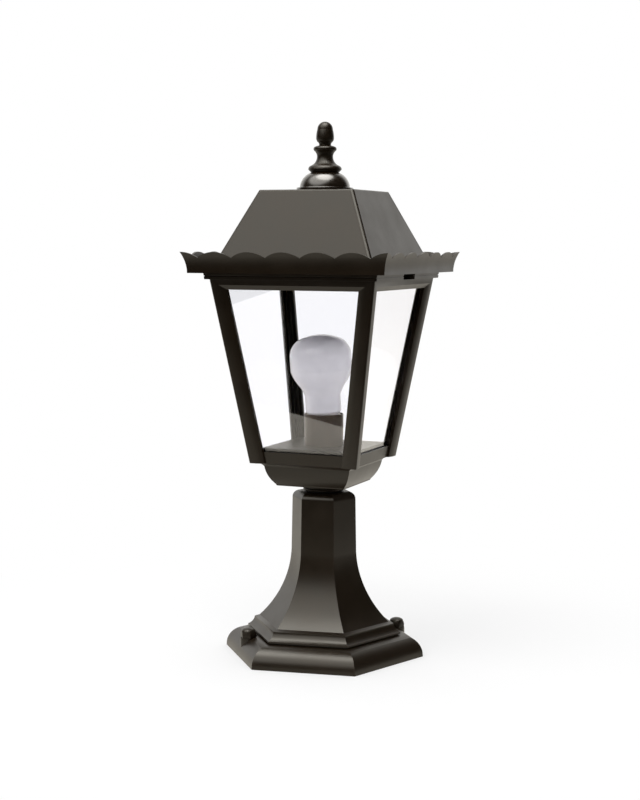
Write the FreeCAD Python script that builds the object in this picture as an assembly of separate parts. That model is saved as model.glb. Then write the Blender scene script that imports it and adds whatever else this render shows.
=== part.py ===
import FreeCAD, Part
import math
import os

# Pedestal lamp: a square cast lantern with a scalloped roof on a hexagonal cast pedestal.
# Sizes are millimetres and angles degrees. The origin is the middle of the foot's underside,
# +Z is up, and the front of the lantern faces -Y. "Half" is half the width across flats.

UP = FreeCAD.Vector(0, 0, 1)
ORIGIN = FreeCAD.Vector(0, 0, 0)
QUARTER = 1 - math.sqrt(0.5)  # rise of a quarter circle over its chord, as a share of its radius

# Fits
SEAT_GAP = 0.3  # between a loose piece and the seat that carries it
THREAD_GAP = 0.2  # between a plain shank and the plain bore that stand for a thread
HOLE_GAP = 0.4  # between a shank and the hole that it passes through

# Pedestal
PEDESTAL_TURN = 39.74  # direction of one flat, from +X
CASTING_WALL = 4.0
FOOT_HALF = 83.4
FOOT_EDGE = 1.5
FOOT_ROUND = 18.0
QUIRK_DEPTH = 2.9
QUIRK_HEIGHT = 1.2
PLINTH_INSET = 0.8  # from the top of the foot's round in to the plinth
PLINTH_FILLET = 1.6
PLINTH_COVE = 7.3
PLINTH_COVE_DEPTH = 5.7
PLINTH_COVE_SAG = 1.1
PLINTH_EDGE = 0.7
PLINTH_SLOPE = 1.5
PLINTH_SLOPE_DEPTH = 4.3
FLARE_HEIGHT = 70.2
SHAFT_HALF = 27.2
SHAFT_HEIGHT = 46.0
SHAFT_TOP_HALF = 26.5
SHOULDER = 7.0
CROWN = 6.0

# Anchors of the foot
ANCHOR_INSET = 9.4  # from the flat of the foot to the anchor's axis
ANCHOR_R = 4.0
ANCHOR_HOLE_GAP = 0.5
BOSS_R = 7.8
BOSS_DROP = 2.6  # from the top of the foot's round down to the boss
SPOT_FACE_GAP = 0.6
ANCHOR_WASHER_R = 7.6
ANCHOR_WASHER = 1.2
ANCHOR_WASHER_GAP = 0.2
CAP_NUT_HALF = 6.5
CAP_NUT_HEX = 6.0
CAP_NUT_CHAMFER = 2.0
CAP_NUT_CHEEK = 2.1
CAP_NUT_CHEEK_SAG = 0.6
CAP_NUT_CROWN = 1.1
CAP_NUT_ROOF = 2.0

# Neck
GASKET_R = 17.0
GASKET_HEIGHT = 1.0
COLLAR_R = 18.3
COLLAR_HEIGHT = 6.0
COLLAR_BEAD_R = 19.6
COLLAR_BEAD = 2.4
TUBE_R = 5.0
TUBE_BORE_R = 3.5
TUBE_TAIL = 12.0
TUBE_NUT_HALF = 8.0
TUBE_NUT = 4.0
TUBE_WASHER_R = 10.5
TUBE_WASHER = 1.2

# Lantern cage
TRAY_FOOT_HALF = 34.2
TRAY_EDGE = 1.4
TRAY_HEIGHT = 19.0
TRAY_TOP_HALF = 42.6
TRAY_SAG = 1.5
TRAY_FLOOR = 3.5
TRAY_WALL = 3.0
RAIL_COVE = 3.6
RAIL_HEIGHT = 11.0
RAIL_INSET = 4.2  # from the posts' faces in to the bottom rail
POST_FOOT_HALF = 53.2
POST_HEIGHT = 170.5
POST_EDGE = 1.8
EAVES_HALF = 80.4
STILE = 8.5  # flat part of a post's face
BEVEL = 6.5  # width of the bevel beside it
BEVEL_DEPTH = 2.4
HEAD_RAIL = 5.1
HEAD_BEVEL = 4.2
LIP = 1.6
RIB = 1.2
RIB_STEP = 2.5  # from the window's edge back to the glazing rib's edge
RIB_TOP_DROP = 6.0  # from the eaves down to the top of the glazing ribs
LEDGE_DROP = 5.6  # from the top of the bottom rail down to the ledge inside it
CORNICE_OVERHANG = 3.2
CORNICE_LEAN = 0.7
CORNICE_HEIGHT = 5.4
CORNICE_GROOVE = 0.6
SLOT_WIDTH = 30.0
UPSTAND = 2.0  # height of the flange inside the cornice that locates the roof
UPSTAND_WALL = 1.8
PANE = 2.0
PANE_TOP_DROP = 3.5  # from the eaves down to the top of the panes

# Floor plate and lamp
PLATE = 1.5
PLATE_RISE = 2.9  # above the bottom rail
PLATE_FLANGE_GAP = 0.5
SLEEVE_R = 18.4
SLEEVE_WALL = 1.0
SLEEVE_FLOOR = 1.2
SLEEVE_HEIGHT = 30.0
SLEEVE_RIM = 0.6
HOLDER_R = 16.6
HOLDER_BASE = 6.5
HOLDER_DROP = 1.0  # from the sleeve's rim down to the holder's rim
TUBE_END_GAP = 1.5  # from the tube's end up to the holder's floor
SHELL_R = 14.2
SHELL_WALL = 0.6
SHELL_DROP = 1.5
SHELL_RISE = 2.0
CONTACT = 0.8
CONTACT_WIDTH = 6.0
CONTACT_LENGTH = 16.0
CONTACT_TONGUE = 12.0
TERMINAL_R = 1.6
TERMINAL_HEAD_R = 2.6
TERMINAL_HEAD = 1.6
TERMINAL_LENGTH = 4.0
TERMINAL_OFFSET = 9.0
LAMP_CAP_R = 13.2
LAMP_TIP_R = 4.5
LAMP_TIP_HEIGHT = 3.5
LAMP_SINK = 1.0  # of the glass into the cap
LAMP_RISE = 3.0  # from the cap up to the neck of the glass
LAMP_LEAN = 3.5  # of the glass in the cap
LAMP_LEAN_TURN = 202.6  # direction of the lean, from +X
LAMP_NECK_R = 16.7
LAMP_NECK = 15.0
LAMP_WAIST_R = 21.5
LAMP_WAIST = 9.7
LAMP_WAIST_SAG = 0.5
LAMP_R = 29.0
LAMP_CHEEK = 14.3
LAMP_CHEEK_SAG = 0.8
LAMP_BARREL = 12.8
LAMP_CROWN_R = 21.3
LAMP_CROWN = 15.5
LAMP_CROWN_SAG = 2.1
LAMP_CROWN_RISE = 5.2
EARTH_SCREW_R = 2.0
EARTH_HEAD_R = 4.0
EARTH_HEAD = 2.4
EARTH_LENGTH = 2.5
EARTH_OFFSET = 21.0

# Roof
ROOF_LEDGE = 3.0
GALLERY_OVERHANG = 10.8  # beyond the cornice
GALLERY_FLARE = 4.9
GALLERY_HEIGHT = 19.1
GALLERY_WALL = 2.0
SCALLOPS = 6  # pitches along one side, with half a scallop at each end
SCALLOP_DEPTH = 5.1
GUTTER = 13.2
PYRAMID_HEIGHT = 72.6
ROOF_TOP_HALF = 46.4
ROOF_EDGE = 1.5
ROOF_WALL = 3.0
HIP_BEAD_R = 2.6
HIP_BEAD_SINK = 1.8

# Dome and finial
DOME_FLANGE_R = 26.5
DOME_FLANGE = 2.9
DOME_R = 23.5
DOME_HEIGHT = 14.0
DOME_SAG = 2.6
DOME_TOP_R = 12.9
DOME_WALL = 2.2
SKIRT_FOOT_R = 12.6
SKIRT_R = 15.6
SKIRT_RISE = 2.9
SKIRT_SAG = 0.2
SKIRT_TOP_R = 12.7
SKIRT_HEIGHT = 3.5
SKIRT_TOP_SAG = 0.7
WAIST_R = 7.5
WAIST_FALL = 7.3
WAIST_SAG = 1.2
BELL_R = 9.6
BELL_HEIGHT = 5.9
BELL_SAG = 0.75
RING_TOP_R = 9.9
RING_HEIGHT = 3.8
RING_SAG = 1.0
RING_SLOPE = 1.4
RING_SLOPE_SAG = 0.2
NECK_R = 5.6
NECK_HEIGHT = 2.4
NECK_SAG = 0.2
ACORN_FOOT_R = 6.0
ACORN_CHEEK = 4.0
ACORN_CHEEK_SAG = 0.5
ACORN_R = 8.3
ACORN_HEIGHT = 8.5
ACORN_SAG = 0.3
ACORN_TOP_R = 7.2
ACORN_TIP = 7.0
FINIAL_STUD_R = 3.0
FINIAL_STUD_HOLD = 16.0  # length inside the finial
FINIAL_STUD_END = 2.0  # below its nut
FINIAL_WASHER_R = 9.0
FINIAL_WASHER = 1.5
FINIAL_NUT_HALF = 5.0
FINIAL_NUT = 5.0

# Levels of the pedestal, from the ground up
foot_top = FOOT_EDGE + FOOT_ROUND
quirk_top = foot_top + QUIRK_HEIGHT
fillet_top = quirk_top + PLINTH_FILLET
cove_top = fillet_top + PLINTH_COVE
plinth_top = cove_top + PLINTH_EDGE
flare_foot = plinth_top + PLINTH_SLOPE
flare_top = flare_foot + FLARE_HEIGHT
shaft_top = flare_top + SHAFT_HEIGHT
shoulder_top = shaft_top + SHOULDER
crown_under = shoulder_top - CROWN
boss_top = foot_top - BOSS_DROP

# Half widths of the pedestal, from the foot inwards
foot_top_half = FOOT_HALF - FOOT_ROUND
quirk_half = foot_top_half - QUIRK_DEPTH
plinth_half = foot_top_half - PLINTH_INSET
plinth_top_half = plinth_half - PLINTH_COVE_DEPTH
flare_half = plinth_top_half - PLINTH_SLOPE_DEPTH
anchor_radius = FOOT_HALF - ANCHOR_INSET

# Levels and half widths of the lantern
collar_foot = shoulder_top + GASKET_HEIGHT
tray_foot = collar_foot + COLLAR_HEIGHT
tray_floor = tray_foot + TRAY_FLOOR
tray_top = tray_foot + TRAY_HEIGHT
post_foot = tray_top + RAIL_COVE
rail_top = post_foot + RAIL_HEIGHT
ledge = rail_top - LEDGE_DROP
eaves = post_foot + POST_HEIGHT
cornice_top = eaves + CORNICE_HEIGHT
cornice_half = EAVES_HALF + CORNICE_OVERHANG
cornice_top_half = cornice_half + CORNICE_LEAN
upstand_top = cornice_top + UPSTAND
post_lean = (EAVES_HALF - POST_FOOT_HALF) / POST_HEIGHT

# Depths into a post from its outer face, and the glazing groove between lip and rib
stile_edge = STILE + BEVEL
groove_out = RAIL_INSET + LIP
groove_in = groove_out + PANE + 2 * SEAT_GAP
rib_in = groove_in + RIB
rib_edge = stile_edge - RIB_STEP

# Levels of the lamp holder
plate_top = rail_top + PLATE_RISE
plate_under = plate_top - PLATE
sleeve_top = plate_top + SLEEVE_HEIGHT
holder_foot = plate_top + SLEEVE_FLOOR
holder_floor = holder_foot + HOLDER_BASE
holder_top = sleeve_top - HOLDER_DROP
lamp_foot = holder_floor + 2 * CONTACT
tube_hole_r = TUBE_R + HOLE_GAP

# Levels and half widths of the roof
roof_foot = cornice_top + SEAT_GAP
gutter = roof_foot + ROOF_LEDGE
gallery_tip = roof_foot + GALLERY_HEIGHT
roof_top = gutter + PYRAMID_HEIGHT
roof_under = roof_top - ROOF_WALL
roof_step = upstand_top + 2 * SEAT_GAP
gallery_half = cornice_top_half + GALLERY_OVERHANG
gallery_tip_half = gallery_half + GALLERY_FLARE
pyramid_foot_half = gallery_half - GALLERY_WALL - GUTTER
roof_slope = (pyramid_foot_half - ROOF_TOP_HALF) / PYRAMID_HEIGHT
dome_spring = roof_top + DOME_FLANGE
dome_top = dome_spring + DOME_HEIGHT


def post_half(z):
    """Half width of the lantern across its posts at a level."""
    return POST_FOOT_HALF + (z - post_foot) * post_lean


def upstand_half():
    """Half width of the flange inside the cornice, over its outer faces."""
    return post_half(cornice_top) - groove_out + UPSTAND_WALL


def pyramid_half(z):
    """Half width of the roof's pyramid at a level."""
    return ROOF_TOP_HALF + (roof_top - z) * roof_slope


def tangent_sag(across, along):
    """Sag of an arc that leaves one end straight along, and ends across and along from it."""
    chord = math.hypot(across, along)
    radius = chord * chord / (2 * across)
    return radius * (1 - along / chord)


def chain(points):
    """Edges in the XZ plane. A third number bows an edge outward by that sag, seen going up."""
    edges = []
    here = FreeCAD.Vector(points[0][0], 0, points[0][1])
    for point in points[1:]:
        there = FreeCAD.Vector(point[0], 0, point[1])
        if len(point) == 2:
            edges.append(Part.makeLine(here, there))
        else:
            run = there - here
            outward = FreeCAD.Vector(run.z, 0, -run.x).normalize()
            edges.append(Part.Arc(here, (here + there) * 0.5 + outward * point[2], there).toShape())
        here = there
    return edges


def turned(points):
    """Solid of revolution about Z of a closed outline."""
    edges = chain(points + [points[0][:2]])
    return Part.Face(Part.Wire(edges)).revolve(ORIGIN, UP, 360)


def moulded(sides, points):
    """Mitred moulding round a regular polygon: its face profile, swept along and met from each side."""
    right = chain(points)
    left = [edge.mirror(ORIGIN, FreeCAD.Vector(1, 0, 0)) for edge in right]
    first = points[0]
    last = points[-1]
    foot = chain([(-first[0], first[1]), first[:2]])
    head = chain([(-last[0], last[1]), last[:2]])
    wire = Part.Wire(Part.sortEdges(right + left + foot + head)[0])
    reach = 2 * wire.BoundBox.XMax
    prism = Part.Face(wire).extrude(FreeCAD.Vector(0, 2 * reach, 0)).translated(FreeCAD.Vector(0, -reach, 0))
    solid = prism
    for i in range(1, sides // 2):
        solid = solid.common(prism.rotated(ORIGIN, UP, i * 360 / sides))
    return solid


def rod(radius, low, high, x=0.0, y=0.0):
    """Upright cylinder between two levels."""
    return Part.makeCylinder(radius, high - low, FreeCAD.Vector(x, y, low))


def ring(outer, inner, low, high, x=0.0, y=0.0):
    """Upright tube between two levels."""
    return rod(outer, low, high, x, y).cut(rod(inner, low, high, x, y))


def hex_nut(half, bore, low, high):
    """Plain hexagon nut on the Z axis."""
    return moulded(6, [(half, low), (half, high)]).cut(rod(bore, low, high))


def block(low_ring, high_ring):
    """Solid with flat faces between two rings of corners that match in order."""
    sides = len(low_ring)
    rings = [low_ring, high_ring]
    for i in range(sides):
        j = (i + 1) % sides
        rings.append([low_ring[i], low_ring[j], high_ring[j], high_ring[i]])
    faces = [Part.Face(Part.makePolygon(corners + corners[:1])) for corners in rings]
    return Part.makeSolid(Part.makeShell(faces))


def four_ways(shape):
    """The shape and its copies on the lantern's other three sides."""
    return [shape.rotated(ORIGIN, UP, 90 * i) for i in range(4)]


def anchor_spots():
    """Directions of the two anchors, on opposite flats of the foot."""
    spots = []
    for turn in (PEDESTAL_TURN, PEDESTAL_TURN + 180):
        angle = math.radians(turn)
        spots.append(FreeCAD.Vector(math.cos(angle), math.sin(angle), 0) * anchor_radius)
    return spots


def pedestal_outline():
    """Face profile of the pedestal from the ground to the shoulder."""
    return [
        (FOOT_HALF, 0),
        (FOOT_HALF, FOOT_EDGE),
        (foot_top_half, foot_top, FOOT_ROUND * QUARTER),
        (quirk_half, foot_top),
        (quirk_half, quirk_top),
        (plinth_half, quirk_top),
        (plinth_half, fillet_top),
        (plinth_top_half, cove_top, -PLINTH_COVE_SAG),
        (plinth_top_half, plinth_top),
        (flare_half, flare_foot),
        (SHAFT_HALF, flare_top, -tangent_sag(flare_half - SHAFT_HALF, FLARE_HEIGHT)),
        (SHAFT_TOP_HALF, shaft_top),
        (SHAFT_TOP_HALF - SHOULDER, shoulder_top, SHOULDER * QUARTER),
    ]


def pedestal_hollow():
    """Face profile of the space inside the pedestal, open at the ground."""
    across = flare_half - SHAFT_HALF
    radius = math.hypot(across, FLARE_HEIGHT) ** 2 / (2 * across)
    inner_half = flare_half - CASTING_WALL * (radius - across) / radius
    inner_foot = flare_foot - CASTING_WALL * FLARE_HEIGHT / radius
    inner_shaft = SHAFT_HALF - CASTING_WALL
    inner_sag = tangent_sag(inner_half - inner_shaft, flare_top - inner_foot)
    quirk_inner = quirk_half - CASTING_WALL
    inner_round = FOOT_ROUND - CASTING_WALL
    return [
        (FOOT_HALF - CASTING_WALL, -CASTING_WALL),
        (FOOT_HALF - CASTING_WALL, FOOT_EDGE),
        (foot_top_half, foot_top - CASTING_WALL, inner_round * QUARTER),
        (quirk_inner, foot_top - CASTING_WALL),
        (quirk_inner, quirk_top),
        (inner_half, inner_foot),
        (inner_shaft, flare_top, -inner_sag),
        (SHAFT_TOP_HALF - CASTING_WALL, crown_under),
    ]


def pedestal():
    """Hollow casting with two anchor bosses that stand on the ground."""
    outer = moulded(6, pedestal_outline()).rotated(ORIGIN, UP, PEDESTAL_TURN)
    hollow = moulded(6, pedestal_hollow()).rotated(ORIGIN, UP, PEDESTAL_TURN)
    body = outer.cut(hollow)
    for spot in anchor_spots():
        body = body.cut(rod(BOSS_R + SPOT_FACE_GAP, boss_top, quirk_top, spot.x, spot.y))
        body = body.fuse(rod(BOSS_R, 0, boss_top, spot.x, spot.y))
        body = body.cut(rod(ANCHOR_R + ANCHOR_HOLE_GAP, 0, boss_top, spot.x, spot.y))
    body = body.cut(rod(tube_hole_r, crown_under, shoulder_top))
    return body.removeSplitter()


def anchor_washers():
    """One flat washer on each anchor boss."""
    washer = ring(ANCHOR_WASHER_R, ANCHOR_R + ANCHOR_WASHER_GAP, boss_top, boss_top + ANCHOR_WASHER)
    return Part.makeCompound([washer.translated(spot) for spot in anchor_spots()])


def cap_nuts():
    """Domed hexagon nuts with blind bores, one on each washer."""
    low = boss_top + ANCHOR_WASHER
    hex_top = low + CAP_NUT_HEX
    cheek_top = hex_top + CAP_NUT_CHEEK
    tip = cheek_top + CAP_NUT_CROWN
    corner = CAP_NUT_HALF / math.cos(math.pi / 6)
    crown = CAP_NUT_HALF - CAP_NUT_ROOF
    shape = turned([
        (0, low),
        (corner, low),
        (corner, hex_top - CAP_NUT_CHAMFER),
        (CAP_NUT_HALF, hex_top),
        (crown, cheek_top, CAP_NUT_CHEEK_SAG),
        (0, tip, tangent_sag(CAP_NUT_CROWN, crown)),
    ])
    nut = moulded(6, [(CAP_NUT_HALF, low), (CAP_NUT_HALF, tip + CAP_NUT_CROWN)]).common(shape)
    nut = nut.cut(rod(ANCHOR_R + THREAD_GAP, low, tip - CAP_NUT_ROOF))
    nut = nut.rotated(ORIGIN, UP, PEDESTAL_TURN)
    return Part.makeCompound([nut.translated(spot) for spot in anchor_spots()])


def neck_gasket():
    """Rubber ring on the pedestal's shoulder."""
    return ring(GASKET_R, tube_hole_r, shoulder_top, collar_foot)


def neck_collar():
    """Turned spacer with a round bead at its foot."""
    bead_top = collar_foot + COLLAR_BEAD
    return turned([
        (tube_hole_r, collar_foot),
        (COLLAR_R, collar_foot),
        (COLLAR_R, bead_top, COLLAR_BEAD_R - COLLAR_R),
        (COLLAR_R, tray_foot),
        (tube_hole_r, tray_foot),
    ])


def neck_tube():
    """Hollow threaded tube from inside the pedestal up into the lamp holder."""
    return ring(TUBE_R, TUBE_BORE_R, crown_under - TUBE_TAIL, holder_floor - TUBE_END_GAP)


def tube_washers():
    """One washer under the pedestal's crown and one on the tray's floor."""
    levels = [crown_under - TUBE_WASHER, tray_floor]
    return Part.makeCompound([ring(TUBE_WASHER_R, tube_hole_r, z, z + TUBE_WASHER) for z in levels])


def tube_nuts():
    """Lock nuts under the crown, on the tray's floor and under the floor plate."""
    levels = [crown_under - TUBE_WASHER - TUBE_NUT, tray_floor + TUBE_WASHER, plate_under - TUBE_NUT]
    bore = TUBE_R + THREAD_GAP
    return Part.makeCompound([hex_nut(TUBE_NUT_HALF, bore, z, z + TUBE_NUT) for z in levels])


def window_ring(depth, widen):
    """Corners of the front window at a depth behind the posts' faces."""
    slip = min(depth, BEVEL_DEPTH) / BEVEL_DEPTH
    inset = STILE + BEVEL * slip
    head = eaves - HEAD_RAIL - HEAD_BEVEL * slip
    sill = post_foot - widen
    corners = []
    for side, z in ((-1, sill), (1, sill), (1, head), (-1, head)):
        half = post_half(z)
        corners.append(FreeCAD.Vector(side * (half - inset), depth - half, z))
    return corners


def leaning_box(inset, low, high):
    """Solid with sides parallel to the posts' faces, between two levels."""
    return moulded(4, [(post_half(low) - inset, low), (post_half(high) - inset, high)])


def corner_ring(u0, u1, v0, v1, z):
    """Corners of a patch in the front right post, by depth from its right and front faces."""
    half = post_half(z)
    return [FreeCAD.Vector(half - u, v - half, z) for u, v in ((u0, v0), (u1, v0), (u1, v1), (u0, v1))]


def glazing_rib():
    """Rib inside one post that keeps two panes against its lips."""
    low = ledge
    high = eaves - RIB_TOP_DROP
    patches = [
        (RAIL_INSET, rib_in, RAIL_INSET, rib_in),
        (groove_in, rib_edge, groove_in, rib_in),
        (groove_in, rib_in, groove_in, rib_edge),
    ]
    solids = [block(corner_ring(*patch, low), corner_ring(*patch, high)) for patch in patches]
    return solids[0].fuse(solids[1:])


def posts():
    """Four posts and the head rails, as a leaning box with a bevelled window in each side."""
    box = leaning_box(0, post_foot, eaves)
    upright = [edge for edge in box.Edges if abs(edge.Vertexes[0].Z - edge.Vertexes[1].Z) > POST_HEIGHT / 2]
    box = box.makeFillet(POST_EDGE, upright)
    bevel = block(window_ring(-LIP, LIP), window_ring(BEVEL_DEPTH, LIP))
    opening = block(window_ring(BEVEL_DEPTH, LIP), window_ring(2 * stile_edge, LIP))
    for cutter in four_ways(bevel) + four_ways(opening):
        box = box.cut(cutter)
    return box


def tray_and_rails():
    """Tray with its bottom rails, solid."""
    rail_foot_half = POST_FOOT_HALF - RAIL_INSET
    return moulded(4, [
        (TRAY_FOOT_HALF - TRAY_EDGE, tray_foot),
        (TRAY_FOOT_HALF, tray_foot + TRAY_EDGE, TRAY_EDGE * QUARTER),
        (TRAY_TOP_HALF, tray_top, TRAY_SAG),
        (rail_foot_half, post_foot, -tangent_sag(RAIL_COVE, rail_foot_half - TRAY_TOP_HALF)),
        (post_half(rail_top) - RAIL_INSET, rail_top),
    ])


def cornice():
    """Moulded ring on the posts, with a fine groove round it."""
    middle = eaves + CORNICE_HEIGHT / 2
    middle_half = (cornice_half + cornice_top_half) / 2
    return moulded(4, [
        (cornice_half, eaves),
        (middle_half, middle),
        (middle_half - CORNICE_GROOVE, middle),
        (middle_half - CORNICE_GROOVE, middle + CORNICE_GROOVE),
        (middle_half, middle + CORNICE_GROOVE),
        (cornice_top_half, cornice_top),
    ])


def tray_hollow():
    """Space inside the tray below the ledge."""
    return moulded(4, [
        (TRAY_FOOT_HALF - TRAY_WALL, tray_floor),
        (TRAY_TOP_HALF - TRAY_WALL, tray_top, TRAY_SAG),
        (TRAY_TOP_HALF - TRAY_WALL, ledge),
    ])


def lantern_cage():
    """One casting: tray, rails, posts with glazing ribs, and a cornice with two lever slots."""
    inside = leaning_box(groove_out, ledge, upstand_top)
    upstand = moulded(4, [(upstand_half(), eaves), (upstand_half(), upstand_top)])
    body = posts().fuse([tray_and_rails(), cornice(), upstand]).cut(inside).cut(tray_hollow())
    body = body.fuse(four_ways(glazing_rib()))
    slot = Part.makeBox(
        4 * cornice_top_half, SLOT_WIDTH, CORNICE_HEIGHT,
        FreeCAD.Vector(-2 * cornice_top_half, -SLOT_WIDTH / 2, eaves),
    )
    body = body.cut(slot)
    body = body.cut(rod(tube_hole_r, tray_foot, tray_floor))
    body = body.cut(rod(EARTH_SCREW_R + THREAD_GAP, tray_floor - EARTH_LENGTH, tray_floor, EARTH_OFFSET))
    return body.removeSplitter()


def pane():
    """Tapered front pane, standing in the grooves of two posts."""
    low = ledge + SEAT_GAP
    high = eaves - PANE_TOP_DROP
    inset = rib_in + SEAT_GAP
    faces = []
    for depth in (groove_out + SEAT_GAP, groove_in - SEAT_GAP):
        corners = []
        for side, z in ((-1, low), (1, low), (1, high), (-1, high)):
            half = post_half(z)
            corners.append(FreeCAD.Vector(side * (half - inset), depth - half, z))
        faces.append(corners)
    return block(faces[0], faces[1])


def floor_plate():
    """Folded plate with four flanges that stand on the ledge inside the rails."""
    half = post_half(ledge) - rib_in - PLATE_FLANGE_GAP
    plate = moulded(4, [(half, ledge), (half, plate_top)])
    plate = plate.cut(moulded(4, [(half - PLATE, ledge), (half - PLATE, plate_under)]))
    return plate.cut(rod(tube_hole_r, plate_under, plate_top))


def holder_sleeve():
    """Drawn cup round the holder, with a rolled rim."""
    inner = SLEEVE_R - SLEEVE_WALL
    rim_foot_z = sleeve_top - 2 * SLEEVE_RIM
    return turned([
        (tube_hole_r, plate_top),
        (SLEEVE_R, plate_top),
        (SLEEVE_R, rim_foot_z),
        (SLEEVE_R - SLEEVE_WALL / 2, sleeve_top, SLEEVE_RIM * QUARTER),
        (inner, rim_foot_z, SLEEVE_RIM * QUARTER),
        (inner, holder_foot),
        (tube_hole_r, holder_foot),
    ])


def lamp_holder():
    """Ceramic body that screws on the neck tube, open at the top for the lamp."""
    body = rod(HOLDER_R, holder_foot, holder_top)
    body = body.cut(rod(SHELL_R + SEAT_GAP, holder_floor, holder_top))
    body = body.cut(rod(TUBE_R + THREAD_GAP, holder_foot, holder_floor))
    for side in (-1, 1):
        y = side * TERMINAL_OFFSET
        bore = TERMINAL_R + THREAD_GAP
        body = body.cut(rod(bore, holder_floor - TERMINAL_LENGTH, holder_floor, 0, y))
    return body


def screw_shell():
    """Brass shell that takes the lamp's cap."""
    low = holder_floor + SHELL_RISE
    high = holder_top - SHELL_DROP
    return ring(SHELL_R, SHELL_R - SHELL_WALL, low, high)


def centre_contact():
    """Brass strip on the holder's floor, folded back over itself under the lamp."""
    start = -CONTACT_LENGTH / 2
    strip = Part.makeBox(
        CONTACT_LENGTH, CONTACT_WIDTH, CONTACT,
        FreeCAD.Vector(start, -CONTACT_WIDTH / 2, holder_floor),
    )
    tongue = Part.makeBox(
        CONTACT_TONGUE, CONTACT_WIDTH, CONTACT - THREAD_GAP,
        FreeCAD.Vector(start, -CONTACT_WIDTH / 2, holder_floor + CONTACT),
    )
    return strip.fuse(tongue).removeSplitter()


def terminal_screws():
    """Two terminal screws in the holder's floor."""
    screws = []
    for side in (-1, 1):
        y = side * TERMINAL_OFFSET
        shank = rod(TERMINAL_R, holder_floor - TERMINAL_LENGTH, holder_floor, 0, y)
        head = rod(TERMINAL_HEAD_R, holder_floor, holder_floor + TERMINAL_HEAD, 0, y)
        screws.append(shank.fuse(head).removeSplitter())
    return Part.makeCompound(screws)


def bulb():
    """Frosted lamp as one sealed solid: a screw cap, and glass that sits a little askew in it."""
    cap = turned([
        (0, lamp_foot),
        (LAMP_TIP_R, lamp_foot),
        (LAMP_CAP_R, lamp_foot + LAMP_TIP_HEIGHT),
        (LAMP_CAP_R, holder_top),
        (0, holder_top),
    ])
    glass_foot = holder_top - LAMP_SINK
    neck_foot = holder_top + LAMP_RISE
    neck_top = neck_foot + LAMP_NECK
    waist = neck_top + LAMP_WAIST
    cheek = waist + LAMP_CHEEK
    barrel = cheek + LAMP_BARREL
    crown = barrel + LAMP_CROWN
    glass = turned([
        (0, glass_foot),
        (LAMP_CAP_R - LAMP_SINK, glass_foot),
        (LAMP_NECK_R, neck_foot),
        (LAMP_NECK_R, neck_top),
        (LAMP_WAIST_R, waist, -LAMP_WAIST_SAG),
        (LAMP_R, cheek, LAMP_CHEEK_SAG),
        (LAMP_R, barrel),
        (LAMP_CROWN_R, crown, LAMP_CROWN_SAG),
        (0, crown + LAMP_CROWN_RISE, tangent_sag(LAMP_CROWN_RISE, LAMP_CROWN_R)),
    ])
    lean = math.radians(LAMP_LEAN_TURN)
    axis = FreeCAD.Vector(-math.sin(lean), math.cos(lean), 0)
    return cap.fuse(glass.rotated(FreeCAD.Vector(0, 0, holder_top), axis, LAMP_LEAN))


def earth_screw():
    """Earth terminal on the tray's floor."""
    shank = rod(EARTH_SCREW_R, tray_floor - EARTH_LENGTH, tray_floor, EARTH_OFFSET)
    head = rod(EARTH_HEAD_R, tray_floor, tray_floor + EARTH_HEAD, EARTH_OFFSET)
    return shank.fuse(head).removeSplitter()


def gallery_wall():
    """Flared wall round the gutter, standing on the roof's ledge."""
    flare = tangent_sag(gallery_tip_half - gallery_half, GALLERY_HEIGHT)
    outer = moulded(4, [
        (gallery_half, roof_foot),
        (gallery_tip_half, gallery_tip, -flare),
    ])
    inner = moulded(4, [
        (gallery_half - GALLERY_WALL, roof_foot),
        (gallery_tip_half - GALLERY_WALL, gallery_tip, -flare),
    ])
    gutter_space = Part.makeBox(
        4 * gallery_tip_half, 4 * gallery_tip_half, GALLERY_HEIGHT,
        FreeCAD.Vector(-2 * gallery_tip_half, -2 * gallery_tip_half, gutter),
    )
    return outer.cut(inner.common(gutter_space))


def scallop_cutter():
    """Space above the scalloped edge of the front gallery wall."""
    pitch = 2 * gallery_tip_half / SCALLOPS
    cusp = gallery_tip - SCALLOP_DEPTH
    clear = gallery_tip + SCALLOP_DEPTH
    points = [(-gallery_tip_half - pitch / 2, cusp)]
    for i in range(SCALLOPS + 1):
        points.append((-gallery_tip_half + (i + 0.5) * pitch, cusp, -SCALLOP_DEPTH))
    points.append((points[-1][0], clear))
    points.append((points[0][0], clear))
    face = Part.Face(Part.Wire(chain(points + [points[0]])))
    depth = gallery_tip_half - (pyramid_foot_half + gallery_half) / 2
    return face.extrude(FreeCAD.Vector(0, 2 * depth, 0)).translated(
        FreeCAD.Vector(0, -gallery_tip_half - depth, 0)
    )


def hip_bead():
    """Round bead along one hip of the pyramid, with a ball end at the top."""
    top_z = roof_top - HIP_BEAD_R
    low = pyramid_half(gutter) - HIP_BEAD_SINK
    high = pyramid_half(top_z) - HIP_BEAD_SINK
    start = FreeCAD.Vector(low, -low, gutter)
    end = FreeCAD.Vector(high, -high, top_z)
    bead = Part.makeCylinder(HIP_BEAD_R, (end - start).Length, start, end - start)
    return bead.fuse(Part.makeSphere(HIP_BEAD_R, end))


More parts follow.
